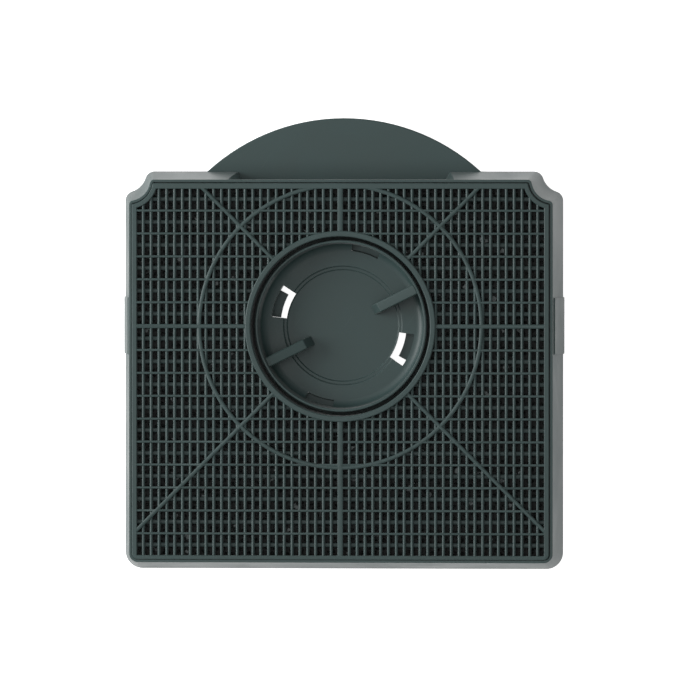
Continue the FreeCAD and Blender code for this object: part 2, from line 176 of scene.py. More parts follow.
class SurfaceEffects:
    """Shader groups that the moulded plastics and the carbon share."""

    def __init__(self) -> None:
        """Builds each group once."""
        self.grain = self._grain()
        self.flow = self._flow()
        self.scuffs = self._scuffs()

    @staticmethod
    def _group(name: str, *inputs: str) -> tuple[bpy.types.NodeTree, Graph, bpy.types.Node]:
        """Starts a group that turns a place and some numbers into one mask.

        Args:
            name: The group's name.
            inputs: The names of its number inputs.

        Returns:
            The group, its graph and its input node.
        """
        sockets = [("Vector", "NodeSocketVector")] + [(socket, "NodeSocketFloat") for socket in inputs]
        tree = named_tree(name, "ShaderNodeTree", sockets, [("Mask", "NodeSocketFloat")])
        graph = Graph(tree)
        return tree, graph, graph.add("NodeGroupInput")

    def _grain(self) -> bpy.types.NodeTree:
        """Makes the fine pebble of a spark-eroded mould face, as a mask of grain of a given size."""
        tree, graph, given = self._group("mould_grain", "Grain Size")
        scale = graph.math("DIVIDE", 1.0, given.outputs["Grain Size"])
        pebble = graph.add("ShaderNodeTexVoronoi", {"Vector": given.outputs["Vector"], "Scale": scale},
                           feature="SMOOTH_F1")
        soft = graph.add("ShaderNodeTexNoise", {"Vector": given.outputs["Vector"], "Scale": scale, "Detail": 2.0})
        grain = graph.math("ADD", pebble.outputs["Distance"], soft.outputs["Fac"])
        graph.add("NodeGroupOutput", {"Mask": graph.math("MULTIPLY", grain, 0.5)})
        return tree

    def _flow(self) -> bpy.types.NodeTree:
        """Makes the broad cloudy marks that flowing plastic leaves, as a mask."""
        tree, graph, given = self._group("flow_marks", "Cloud Size", "Softness")
        scale = graph.math("DIVIDE", 1.0, given.outputs["Cloud Size"])
        cloud = graph.add("ShaderNodeTexNoise",
                          {"Vector": given.outputs["Vector"], "Scale": scale, "Detail": 4.0, "Distortion": 0.6})
        spread = graph.math("ADD", given.outputs["Softness"], 0.5)
        low = graph.math("SUBTRACT", 0.5, given.outputs["Softness"])
        node = graph.add("ShaderNodeMapRange", {"Value": cloud.outputs["Fac"], "From Min": low, "From Max": spread})
        graph.add("NodeGroupOutput", {"Mask": node.outputs["Result"]})
        return tree

    def _scuffs(self) -> bpy.types.NodeTree:
        """Makes sparse hairline rubs, long one way, as a mask."""
        tree, graph, given = self._group("hairline_rubs", "Length", "Width", "Amount")
        across = graph.math("DIVIDE", 1.0, given.outputs["Width"])
        along = graph.math("DIVIDE", 1.0, given.outputs["Length"])
        stretch = graph.add("ShaderNodeCombineXYZ", {"X": across, "Y": along, "Z": across})
        place = graph.add("ShaderNodeVectorMath", {0: given.outputs["Vector"], 1: stretch.outputs["Vector"]},
                          operation="MULTIPLY")
        lines = graph.add("ShaderNodeTexNoise", {"Vector": place.outputs["Vector"], "Scale": 1.0, "Detail": 3.0})
        edge = graph.math("SUBTRACT", 0.8, graph.math("MULTIPLY", given.outputs["Amount"], 0.3))
        node = graph.add("ShaderNodeMapRange",
                         {"Value": lines.outputs["Fac"], "From Min": edge, "From Max": graph.math("ADD", edge, 0.1)})
        graph.add("NodeGroupOutput", {"Mask": node.outputs["Result"]})
        return tree


@dataclass(frozen=True)
class MouldedPlastic:
    """Dark grey-green moulded plastic with a satin grain."""

    name: str
    deep: tuple[float, float, float, float] = (0.018, 0.039, 0.037, 1.0)
    pale: tuple[float, float, float, float] = (0.027, 0.052, 0.051, 1.0)
    rubbed: tuple[float, float, float, float] = (0.060, 0.085, 0.084, 1.0)
    gloss_low: float = 0.40
    gloss_high: float = 0.56
    grain_size: float = 0.35 * MM
    grain_depth: float = 0.020 * MM
    cloud_size: float = 42 * MM
    rub_length: float = 30 * MM
    rub_width: float = 0.7 * MM
    rub_amount: float = 0.35
    rub_turn: float = math.radians(35)
    rub_share: float = 0.5
    specular: float = 0.45
    sheen: float = 0.10

    def made(self, effects: SurfaceEffects) -> bpy.types.Material:
        """Builds the material.

        Args:
            effects: The shared shader groups.

        Returns:
            The finished material.
        """
        material = bpy.data.materials.new(self.name)
        material.use_nodes = True
        graph = Graph(material.node_tree)
        place = graph.add("ShaderNodeTexCoord").outputs["Object"]
        turned_place = graph.add("ShaderNodeMapping", {"Vector": place, "Rotation": (0.0, 0.0, self.rub_turn)})
        grain = graph.add("ShaderNodeGroup", node_tree=effects.grain)
        cloud = graph.add("ShaderNodeGroup", node_tree=effects.flow)
        rubs = graph.add("ShaderNodeGroup", node_tree=effects.scuffs)
        for node, vector, numbers in (
            (grain, place, {"Grain Size": self.grain_size}),
            (cloud, place, {"Cloud Size": self.cloud_size, "Softness": 0.22}),
            (rubs, turned_place.outputs["Vector"],
             {"Length": self.rub_length, "Width": self.rub_width, "Amount": self.rub_amount}),
        ):
            graph.tree.links.new(vector, node.inputs["Vector"])
            for socket, value in numbers.items():
                node.inputs[socket].default_value = value
        colour = graph.mix(cloud.outputs["Mask"], self.deep, self.pale)
        colour = graph.mix(graph.math("MULTIPLY", rubs.outputs["Mask"], self.rub_share), colour, self.rubbed)
        gloss = graph.add("ShaderNodeMapRange", {"Value": cloud.outputs["Mask"], "To Min": self.gloss_low,
                                                 "To Max": self.gloss_high})
        bump = graph.add("ShaderNodeBump", {"Height": grain.outputs["Mask"], "Distance": self.grain_depth,
                                            "Strength": 1.0})
        shader = graph.add("ShaderNodeBsdfPrincipled", {
            "Base Color": colour, "Roughness": gloss.outputs["Result"], "Normal": bump.outputs["Normal"],
            "Specular IOR Level": self.specular, "Sheen Weight": self.sheen, "Sheen Roughness": 0.4,
        })
        graph.add("ShaderNodeOutputMaterial", {"Surface": shader.outputs["BSDF"]})
        return material


@dataclass(frozen=True)
class ActiveCarbon:
    """Loose black carbon, with a few granules painted pale as painted glints."""

    name: str
    dark: tuple[float, float, float, float] = (0.0035, 0.0045, 0.0045, 1.0)
    dusty: tuple[float, float, float, float] = (0.012, 0.016, 0.016, 1.0)
    # Painted glint: a pale grey base colour for a few granules, standing in for light glinting on the carbon.
    painted_glint: tuple[float, float, float, float] = (0.22, 0.25, 0.25, 1.0)
    granule: float = 2.2 * MM
    painted_glint_share: float = 0.012
    grain_depth: float = 0.10 * MM

    def made(self, effects: SurfaceEffects) -> bpy.types.Material:
        """Builds the material.

        Args:
            effects: The shared shader groups.

        Returns:
            The finished material.
        """
        material = bpy.data.materials.new(self.name)
        material.use_nodes = True
        graph = Graph(material.node_tree)
        place = graph.add("ShaderNodeTexCoord").outputs["Object"]
        cells = graph.add("ShaderNodeTexVoronoi", {"Vector": place, "Scale": 1.0 / self.granule})
        split = graph.add("ShaderNodeSeparateColor", {"Color": cells.outputs["Color"]})
        # A random few granules get the pale colour. These are painted glints in place of light sparkling on the
        # carbon.
        painted_glint_mask = graph.ramp(split.outputs["Red"], 1.0 - self.painted_glint_share, 1.0 - self.painted_glint_share / 2)
        colour = graph.mix(split.outputs["Green"], self.dark, self.dusty)
        colour = graph.mix(painted_glint_mask, colour, self.painted_glint)
        grain = graph.add("ShaderNodeGroup", {"Vector": place, "Grain Size": self.granule / 3},
                          node_tree=effects.grain)
        bump = graph.add("ShaderNodeBump", {"Height": grain.outputs["Mask"], "Distance": self.grain_depth})
        shader = graph.add("ShaderNodeBsdfPrincipled", {
            "Base Color": colour, "Roughness": 0.62, "Normal": bump.outputs["Normal"], "Specular IOR Level": 0.35,
        })
        graph.add("ShaderNodeOutputMaterial", {"Surface": shader.outputs["BSDF"]})
        return material


def placed(name: str, mesh: bpy.types.Mesh) -> bpy.types.Object:
    """Puts a mesh into the scene as an object at the origin.

    Args:
        name: The object's name.
        mesh: Its mesh.

    Returns:
        The new object.
    """
    piece = bpy.data.objects.new(name, mesh)
    bpy.context.scene.collection.objects.link(piece)
    return piece


def closed_solid(name: str, corners: Sequence[Vector], faces: Sequence[Sequence[int]]) -> bpy.types.Object:
    """Makes a closed solid with its faces outwards.

    Args:
        name: The object's name.
        corners: The vertices.
        faces: Vertex numbers of each face.

    Returns:
        The new object.
    """
    mesh = bpy.data.meshes.new(name)
    mesh.from_pydata([tuple(corner) for corner in corners], [], faces)
    shape = bmesh.new()
    shape.from_mesh(mesh)
    bmesh.ops.recalc_face_normals(shape, faces=shape.faces)
    shape.to_mesh(mesh)
    shape.free()
    return placed(name, mesh)


def settled(piece: bpy.types.Object) -> bpy.types.Object:
    """Turns what the modifiers make into the piece's own plain mesh.

    Args:
        piece: The object with its modifiers.

    Returns:
        The same object, with no modifier left.
    """
    graph = bpy.context.evaluated_depsgraph_get()
    mesh = bpy.data.meshes.new_from_object(piece.evaluated_get(graph), depsgraph=graph)
    piece.modifiers.clear()
    piece.data = mesh
    return piece


def welded(first: bpy.types.Object, second: bpy.types.Object, how: Weld) -> bpy.types.Object:
    """Changes one solid by another, which is used up.

    Args:
        first: The solid that stays.
        second: The solid that is added, cut away or kept within.
        how: Which of these.

    Returns:
        The first object with its new mesh.
    """
    change = first.modifiers.new("weld", "BOOLEAN")
    change.operation = how.value
    change.solver = "MANIFOLD"
    change.object = second
    settled(first)
    bpy.data.objects.remove(second)
    return first


def softened(corners: Sequence[Corner], steps: int = 4) -> list[Spot]:
    """Rounds the corners of a closed outline.

    Args:
        corners: Each corner's two coordinates and its radius.
        steps: Edges along each round.

    Returns:
        The outline's points.
    """
    points: list[Spot] = []
    for number, (x, y, radius) in enumerate(corners):
        here = Vector((x, y))
        if radius <= 0:
            points.append((x, y))
            continue
        back = (Vector(corners[number - 1][:2]) - here).normalized()
        ahead = (Vector(corners[(number + 1) % len(corners)][:2]) - here).normalized()
        half = back.angle(ahead) / 2
        centre = here + (back + ahead).normalized() * (radius / math.sin(half))
        start = here + back * (radius / math.tan(half)) - centre
        end = here + ahead * (radius / math.tan(half)) - centre
        turn = start.angle_signed(end)
        for step in range(steps + 1):
            points.append(tuple(centre + Matrix.Rotation(-turn * step / steps, 2) @ start))
    return points


def turned(name: str, section: Sequence[Spot], segments: int) -> bpy.types.Object:
    """Turns a closed section about the hub's axis.

    Args:
        name: The object's name.
        section: Radius and height of each point, in order. Points on the axis become poles.
        segments: Steps round the axis.

    Returns:
        The turned solid.
    """
    corners: list[Vector] = []
    rings: list[list[int]] = []
    for radius, height in section:
        count = segments if radius > MM / 100 else 1
        rings.append(list(range(len(corners), len(corners) + count)))
        for step in range(count):
            turn = math.tau * step / segments
            corners.append(Vector((radius * math.cos(turn), radius * math.sin(turn), height)))
    faces: list[list[int]] = []
    for first, second in zip(rings, rings[1:] + rings[:1]):
        if len(first) == 1 and len(second) == 1:
            continue
        for step in range(segments):
            after = (step + 1) % segments
            face = [first[step % len(first)], first[after % len(first)],
                    second[after % len(second)], second[step % len(second)]]
            faces.append(list(dict.fromkeys(face)))
    return closed_solid(name, corners, faces)


def drawn(name: str, section: Sequence[Spot], path: Sequence[Vector], sideways: Sequence[Vector]) -> bpy.types.Object:
    """Draws a closed section along an open path, upright, and caps its ends.

    Args:
        name: The object's name.
        section: Sideways place and height of each point, in order.
        path: The places that the section passes.
        sideways: The section's sideways direction at each place.

    Returns:
        The drawn solid.
    """
    count = len(section)
    corners = [spot + side * across + Vector((0, 0, height))
               for spot, side in zip(path, sideways) for across, height in section]
    faces = [[k * count + i, k * count + (i + 1) % count, (k + 1) * count + (i + 1) % count, (k + 1) * count + i]
             for k in range(len(path) - 1) for i in range(count)]
    faces.append(list(range(count)))
    faces.append(list(range((len(path) - 1) * count, len(path) * count)))
    return closed_solid(name, corners, faces)


def sector(name: str, inner: float, outer: float, start: float, span: float,
           bottom: float, top: float, steps: int = 24) -> bpy.types.Object:
    """Makes a block that follows part of a ring.

    Args:
        name: The object's name.
        inner: Inner radius.
        outer: Outer radius.
        start: Angle where it begins.
        span: Angle that it covers.
        bottom: Lower height.
        top: Upper height.
        steps: Edges along its length.

    Returns:
        The solid.
    """
    section = [(inner, bottom), (outer, bottom), (outer, top), (inner, top)]
    turns = [start + span * step / steps for step in range(steps + 1)]
    outward = [Vector((math.cos(turn), math.sin(turn), 0)) for turn in turns]
    return drawn(name, section, [Vector((0, 0, 0))] * len(turns), outward)


def crowned(width: float, foot: float, top: float, crown: float, steps: int = 6) -> list[Spot]:
    """Gives the section of a moulded bar with a rounded top.

    Args:
        width: The bar's width.
        foot: Its lower height.
        top: Its highest point.
        crown: Height of the rounded part.
        steps: Edges over the crown.

    Returns:
        The section's points.
    """
    arc = [(width / 2 * math.cos(math.pi * step / steps), top - crown + crown * math.sin(math.pi * step / steps))
           for step in range(steps + 1)]
    return [(width / 2, foot)] + arc + [(-width / 2, foot)]


class BarRow:
    """Geometry Nodes tree that repeats one moulded bar along a line."""

    def __init__(self) -> None:
        """Builds the tree with its named inputs."""
        self.tree = named_tree("bar_row", "GeometryNodeTree", [
            ("Bar", "NodeSocketGeometry"), ("Count", "NodeSocketInt"), ("Start", "NodeSocketVector"),
            ("Step", "NodeSocketVector"), ("Material", "NodeSocketMaterial"),
        ], [("Geometry", "NodeSocketGeometry")])
        graph = Graph(self.tree)
        given = graph.add("NodeGroupInput").outputs
        line = graph.add("GeometryNodeMeshLine", {"Count": given["Count"], "Start Location": given["Start"],
                                                  "Offset": given["Step"]}, mode="OFFSET")
        bars = graph.add("GeometryNodeInstanceOnPoints", {"Points": line.outputs["Mesh"], "Instance": given["Bar"]})
        plain = graph.add("GeometryNodeRealizeInstances", {"Geometry": bars.outputs["Instances"]})
        dressed = graph.add("GeometryNodeSetMaterial", {"Geometry": plain.outputs["Geometry"],
                                                        "Material": given["Material"]})
        graph.add("NodeGroupOutput", {"Geometry": dressed.outputs["Geometry"]})

    def repeat(self, bar: bpy.types.Object, count: int, start: Vector, step: Vector,
               material: bpy.types.Material) -> bpy.types.Object:
        """Repeats a bar and leaves it as a plain mesh.

        Args:
            bar: The object with one bar, about the origin.
            count: How many bars.
            start: Place of the first one.
            step: From one bar to the next.
            material: The finish.

        Returns:
            The same object with all the bars.
        """
        set_tree(bar, self.tree, {"Count": count, "Start": start, "Step": step, "Material": material})
        return settled(bar)


def set_tree(piece: bpy.types.Object, tree: bpy.types.NodeTree, values: dict[str, Any]) -> None:
    """Adds a Geometry Nodes tree to a piece and sets its inputs.

    Args:
        piece: The object.
        tree: The tree.
        values: The input values by socket name.
    """
    modifier = piece.modifiers.new(tree.name, "NODES")
    modifier.node_group = tree
    for item in tree.interface.items_tree:
        if item.item_type == "SOCKET" and item.in_out == "INPUT" and item.name in values:
            modifier[item.identifier] = values[item.name]


def dressed(piece: bpy.types.Object, material: bpy.types.Material, sharp: float = math.radians(32)) -> None:
    """Gives a finished mesh its material and soft shading with crisp edges.

    Args:
        piece: The object.
        material: The finish.
        sharp: Edges that turn by more stay crisp.
    """
    piece.data.materials.clear()
    piece.data.materials.append(material)
    piece.data.polygons.foreach_set("material_index", [0] * len(piece.data.polygons))
    piece.data.shade_smooth()
    piece.data.set_sharp_from_angle(angle=sharp)
    even = piece.modifiers.new("even_shading", "WEIGHTED_NORMAL")
    even.keep_sharp = True
    settled(piece)


def handed_over(piece: bpy.types.Object, body: Body, node: str) -> None:
    """Tells the frame what a piece rides on and stands for.

    Args:
        piece: The finished object.
        body: The body that it rides on.
        node: The node that it replaces.
    """
    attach(piece, body.value)
    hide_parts(node)
    LOG.info("%s: %d faces, on %s", piece.name, len(piece.data.polygons), body.value)


@dataclass
class CaseOutline:
    """Outline with a hollow notch in both upper corners and round lower corners."""

    notch_x: float = 115.6 * MM
    notch_y: float = 79.7 * MM
    steps: int = 12

    def points(self, half: float, top: float, bottom: float, hollow: float, bead: float,
               corner: float) -> list[Vector]:
        """Gives the outline's points, always the same number in the same order.

        Args:
            half: Half width.
            top: Height of the upper edge.
            bottom: Depth of the lower edge.
            hollow: Radius of the notch about the case's square corner.
            bead: Radius that leads into the notch.
            corner: Radius of the lower corners.

        Returns:
            The points, from the upper right notch clockwise.
        """
        right = self._notch(half, top, hollow, bead) + self._corner(half, bottom, corner)
        left = [Vector((-spot.x, spot.y, 0)) for spot in reversed(right)]
        return right + left

    def _notch(self, half: float, top: float, hollow: float, bead: float) -> list[Vector]:
        """Gives the right-hand notch: bead, hollow arc, bead."""
        corner = Vector((self.notch_x, self.notch_y))
        reach = hollow + bead
        upper = Vector((self.notch_x - math.sqrt(reach ** 2 - (self.notch_y - top + bead) ** 2), top - bead))
        lower = Vector((half - bead, self.notch_y - math.sqrt(reach ** 2 - (self.notch_x - half + bead) ** 2)))
        inward = math.atan2(*(corner - upper).yx)
        outward = math.atan2(*(corner - lower).yx)
        return (self._arc(upper, bead, math.pi / 2, inward)
                + self._arc(corner, hollow, inward - math.pi, outward - math.pi, flip=True)
                + self._arc(lower, bead, outward, 0.0))

    def _corner(self, half: float, bottom: float, radius: float) -> list[Vector]:
        """Gives the right-hand lower corner."""
        return self._arc(Vector((half - radius, -bottom + radius)), radius, 0.0, -math.pi / 2)

    def _arc(self, centre: Vector, radius: float, start: float, end: float, flip: bool = False) -> list[Vector]:
        """Gives points along an arc, the short way round."""
        turn = (end - start + math.pi) % math.tau - math.pi
        spots = []
        for step in range(self.steps + 1):
            at = start + turn * step / self.steps
            spots.append(Vector((centre.x + radius * math.cos(at), centre.y + radius * math.sin(at), 0)))
        return spots


def lofted(name: str, loops: Sequence[Sequence[Vector]]) -> bpy.types.Object:
    """Joins closed loops of equally many points into a closed ring-shaped shell.

    Args:
        name: The object's name.
        loops: The loops, in order round the section.

    Returns:
        The closed shell.
    """
    count = len(loops[0])
    corners = [spot for loop in loops for spot in loop]
    faces = []
    for k in range(len(loops)):
        after = (k + 1) % len(loops)
        for i in range(count):
            j = (i + 1) % count
            faces.append([k * count + i, k * count + j, after * count + j, after * count + i])
    return closed_solid(name, corners, faces)


def slab(name: str, outline: Sequence[Vector], bottom: float, top: float) -> bpy.types.Object:
    """Makes a flat block with a given outline.

    Args:
        name: The object's name.
        outline: The outline's points.
        bottom: Lower height.
        top: Upper height.

    Returns:
        The block.
    """
    count = len(outline)
    corners = [spot + Vector((0, 0, bottom)) for spot in outline] + [spot + Vector((0, 0, top)) for spot in outline]
    faces = [[i, (i + 1) % count, count + (i + 1) % count, count + i] for i in range(count)]
    faces += [list(range(count)), list(range(count, 2 * count))]
    return closed_solid(name, corners, faces)


@dataclass
class FrontGrille:
    """The lid: border, slats, crossbars in front, deeper bars behind, ring, diagonals and collar."""

    lid: tuple[float, float, float] = (113.85 * MM, 77.95 * MM, 127.15 * MM)
    field: tuple[float, float, float] = (111.13 * MM, 74.9 * MM, 124.9 * MM)
    lid_notch: float = 13.35 * MM
    field_notch: float = 15.85 * MM
    lid_bead: float = 0.65 * MM
    field_bead: float = 0.3 * MM
    lid_corner: float = 3.15 * MM
    field_corner: float = 0.5 * MM
    edge_round: float = 0.42 * MM
    foot: float = 25.4 * MM
    top: float = 29.2 * MM
    play: tuple[float, float] = (-0.2 * MM, -0.15 * MM)
    slat_width: float = 1.6 * MM
    slat_pitch: float = 4.28 * MM
    slat_first: float = 4.93 * MM
    slat_top: float = 28.5 * MM
    slats: int = 25
    bar_width: float = 1.2 * MM
    bar_pitch: float = 12.5 * MM
    bar_first: float = 13.0 * MM
    bar_foot: float = 27.6 * MM
    bars: tuple[int, int] = (5, 9)
    deep_width: float = 2.4 * MM
    deep_first: float = 6.75 * MM
    deep_top: float = 26.3 * MM
    centre_rib: float = 2.9 * MM
    cross_rib: float = 2.2 * MM
    ring: float = 77.0 * MM
    ring_width: float = 2.1 * MM
    diagonal_width: float = 2.0 * MM
    collar: tuple[float, float] = (49.0 * MM, 52.0 * MM)
    collar_top: float = 30.0 * MM

    def build(self, plastic: bpy.types.Material) -> bpy.types.Object:
        """Builds the lid as one closed moulding.

        Args:
            plastic: Its finish.

        Returns:
            The finished piece.
        """
        rows = BarRow()
        grille = self._slats(rows, plastic, 1)
        for part in [self._slats(rows, plastic, -1), *self._crossbars(rows, plastic),
                     *self._deep_bars(rows, plastic), *self._ribs(), self._ring_rib()]:
            grille = welded(grille, part, Weld.ADD)
        grille = welded(grille, self._limits(), Weld.KEEP)
        grille = welded(grille, self._collar_hole(), Weld.CUT)
        grille = welded(grille, self._border(), Weld.ADD)
        grille = welded(grille, self._collar(), Weld.ADD)
        grille.name = "front_grille_moulding"
        grille.data.transform(Matrix.Translation((*self.play, 0)))
        dressed(grille, plastic)
        handed_over(grille, Body.CASE, "front_grille")
        return grille

    def _across(self, width: float, foot: float, top: float, crown: float) -> bpy.types.Object:
        """Makes one bar along X, past both sides of the field."""
        reach = self.lid[0]
        path = [Vector((-reach, 0, 0)), Vector((reach, 0, 0))]
        return drawn("bar", crowned(width, foot, top, crown), path, [Vector((0, 1, 0))] * 2)

    def _along(self, width: float, foot: float, top: float, crown: float) -> bpy.types.Object:
        """Makes one bar along Y, past both ends of the field."""
        path = [Vector((0, -self.lid[2], 0)), Vector((0, self.lid[1], 0))]
        return drawn("bar", crowned(width, foot, top, crown), path, [Vector((1, 0, 0))] * 2)

    def _slats(self, rows: BarRow, plastic: bpy.types.Material, side: int) -> bpy.types.Object:
        """Makes the slats on one side of the centre rib."""
        slat = self._along(self.slat_width, self.foot, self.slat_top, self.slat_width / 2)
        start = Vector((side * self.slat_first, 0, 0))
        return rows.repeat(slat, self.slats, start, Vector((side * self.slat_pitch, 0, 0)), plastic)

    def _crossbars(self, rows: BarRow, plastic: bpy.types.Material) -> list[bpy.types.Object]:
        """Makes the thin bars in front of the slats, above and below the centre."""
        made = []
        for side, count in zip((1, -1), self.bars):
            bar = self._across(self.bar_width, self.bar_foot, self.top - 0.1 * MM, self.bar_width / 3)
            start = Vector((0, side * self.bar_first, 0))
            made.append(rows.repeat(bar, count, start, Vector((0, side * self.bar_pitch, 0)), plastic))
        return made

    def _deep_bars(self, rows: BarRow, plastic: bpy.types.Material) -> list[bpy.types.Object]:
        """Makes the wide bars behind the slats, halfway between the crossbars."""
        made = []
        for side, count in zip((1, -1), self.bars):
            bar = self._across(self.deep_width, self.foot, self.deep_top, self.deep_width / 4)
            start = Vector((0, side * self.deep_first, 0))
            made.append(rows.repeat(bar, count + 1, start, Vector((0, side * self.bar_pitch, 0)), plastic))
        return made

    def _ribs(self) -> list[bpy.types.Object]:
        """Makes the upright and the level centre rib and both diagonals."""
        made = [self._along(self.centre_rib, self.foot, self.top, self.bar_width / 3),
                self._across(self.cross_rib, self.foot, self.top, self.bar_width / 3)]
        for turn in (math.pi / 4, -math.pi / 4):
            reach = self.lid[0] * 2
            path = [Vector((-reach * math.cos(turn), -reach * math.sin(turn), 0)),
                    Vector((reach * math.cos(turn), reach * math.sin(turn), 0))]
            aside = Vector((-math.sin(turn), math.cos(turn), 0))
            section = crowned(self.diagonal_width, self.bar_foot, self.top, self.bar_width / 2)
            made.append(drawn("diagonal", section, path, [aside] * 2))
        return made

    def _ring_rib(self) -> bpy.types.Object:
        """Makes the ring that the diagonals cross."""
        section = crowned(self.ring_width, self.bar_foot, self.top, self.bar_width / 2)
        return turned("ring", [(self.ring + across, height) for across, height in section], 256)

    def _limits(self) -> bpy.types.Object:
        """Makes the block that all bars stay within."""
        half, top, bottom = self.field
        room = MM
        outline = CaseOutline().points(half + room, top + room, bottom + room, self.field_notch - room,
                                       self.field_bead, self.field_corner)
        return slab("limits", outline, self.foot, self.collar_top)

    def _collar_hole(self) -> bpy.types.Object:
        """Makes the round hole for the hub, up to the middle of the collar."""
        middle = sum(self.collar) / 2
        section = [(0, self.foot - MM), (middle, self.foot - MM), (middle, self.collar_top + MM),
                   (0, self.collar_top + MM)]
        return turned("hole", section, 256)

    def _border(self) -> bpy.types.Object:
        """Makes the border with soft front edges."""
        steps = 4
        outlines = CaseOutline()
        loops = []
        for step in range(steps + 1):
            turn = math.pi / 2 * step / steps
            inset = self.edge_round * (1 - math.cos(turn))
            loops.append((self._lid_loop(outlines, inset), self.top - self.edge_round * (1 - math.sin(turn))))
        for step in range(steps, -1, -1):
            turn = math.pi / 2 * step / steps
            inset = self.edge_round * (1 - math.cos(turn))
            loops.append((self._field_loop(outlines, inset), self.top - self.edge_round * (1 - math.sin(turn))))
        loops.append((self._field_loop(outlines, 0), self.foot))
        loops.append((self._lid_loop(outlines, 0), self.foot))
        return lofted("border", [[spot + Vector((0, 0, height)) for spot in loop] for loop, height in loops])

    def _lid_loop(self, outlines: CaseOutline, inset: float) -> list[Vector]:
        """Gives the lid's outer outline, drawn in by inset."""
        half, top, bottom = (size - inset for size in self.lid)
        return outlines.points(half, top, bottom, self.lid_notch + inset, max(self.lid_bead - inset, MM / 10),
                               self.lid_corner - inset)

    def _field_loop(self, outlines: CaseOutline, inset: float) -> list[Vector]:
        """Gives the border's inner outline, spread out by inset."""
        half, top, bottom = (size + inset for size in self.field)
        return outlines.points(half, top, bottom, self.field_notch - inset, self.field_bead,
                               self.field_corner)

    def _collar(self) -> bpy.types.Object:
        """Makes the raised collar round the hub."""
        inner, outer = self.collar
        soft = 0.6 * MM
        section = softened([(inner, self.foot, 0), (outer, self.foot, 0), (outer, self.collar_top, soft),
                            (inner, self.collar_top, soft)])
        return turned("collar", section, 256)


@dataclass
class CarbonBed:
    """Loose granular carbon that fills the case."""

    inset: float = 2.8 * MM
    half: float = 112.8 * MM
    reach_top: float = 76.9 * MM
    reach_bottom: float = 126.1 * MM
    notch: float = 14.4 * MM
    bead: float = 0.4 * MM
    corner: float = 2.1 * MM
    bottom: float = 2.0 * MM
    top: float = 23.4 * MM
    well: float = 50.9 * MM
    spacing: float = 2.25 * MM
    granule: float = 1.25 * MM
    seed: int = 7

    def build(self, carbon: bpy.types.Material) -> bpy.types.Object:
        """Builds the bed with granules on its top.

        Args:
            carbon: Its finish.

        Returns:
            The finished piece.
        """
        outline = CaseOutline().points(self.half, self.reach_top, self.reach_bottom, self.notch, self.bead,
                                       self.corner)
        bed = slab("carbon_granules", outline, self.bottom, self.top)
        section = [(0, -MM), (self.well, -MM), (self.well, self.top + MM), (0, self.top + MM)]
        bed = welded(bed, turned("well", section, 192), Weld.CUT)
        set_tree(bed, self._tree(), {"Spacing": self.spacing, "Granule": self.granule, "Seed": self.seed,
                                     "Material": carbon})
        settled(bed)
        handed_over(bed, Body.CASE, "carbon_bed")
        return bed

    @staticmethod
    def _tree() -> bpy.types.NodeTree:
        """Makes the tree that strews granules over the bed's top."""
        tree = named_tree("granule_bed", "GeometryNodeTree", [
            ("Bed", "NodeSocketGeometry"), ("Spacing", "NodeSocketFloat"), ("Granule", "NodeSocketFloat"),
            ("Seed", "NodeSocketInt"), ("Material", "NodeSocketMaterial"),
        ], [("Geometry", "NodeSocketGeometry")])
        graph = Graph(tree)
        given = graph.add("NodeGroupInput").outputs
        upward = graph.add("ShaderNodeSeparateXYZ", {0: graph.add("GeometryNodeInputNormal").outputs[0]})
        is_top = graph.add("FunctionNodeCompare", {0: upward.outputs["Z"], 1: 0.9}, operation="GREATER_THAN")
        points = graph.add("GeometryNodeDistributePointsOnFaces", {
            "Mesh": given["Bed"], "Selection": is_top.outputs[0], "Distance Min": given["Spacing"],
            "Density Max": 1e6, "Seed": given["Seed"],
        }, distribute_method="POISSON")
        chip = graph.add("GeometryNodeMeshIcoSphere", {"Radius": given["Granule"], "Subdivisions": 1})
        turn = graph.add("FunctionNodeRandomValue", {0: (0, 0, 0), 1: (math.tau, math.tau, math.tau),
                                                     "Seed": given["Seed"]}, data_type="FLOAT_VECTOR")
        size = graph.add("FunctionNodeRandomValue", {0: (0.6, 0.6, 0.45), 1: (1.3, 1.1, 0.9),
                                                     "Seed": given["Seed"]}, data_type="FLOAT_VECTOR")
        strewn = graph.add("GeometryNodeInstanceOnPoints", {
            "Points": points.outputs["Points"], "Instance": chip.outputs["Mesh"],
            "Rotation": turn.outputs[0], "Scale": size.outputs[0],
        })
        plain = graph.add("GeometryNodeRealizeInstances", {"Geometry": strewn.outputs["Instances"]})
        joined = graph.add("GeometryNodeJoinGeometry")
        tree.links.new(given["Bed"], joined.inputs[0])
        tree.links.new(plain.outputs["Geometry"], joined.inputs[0])
        finished = graph.add("GeometryNodeSetMaterial", {"Geometry": joined.outputs["Geometry"],
                                                         "Material": given["Material"]})
        graph.add("NodeGroupOutput", {"Geometry": finished.outputs["Geometry"]})
        return tree


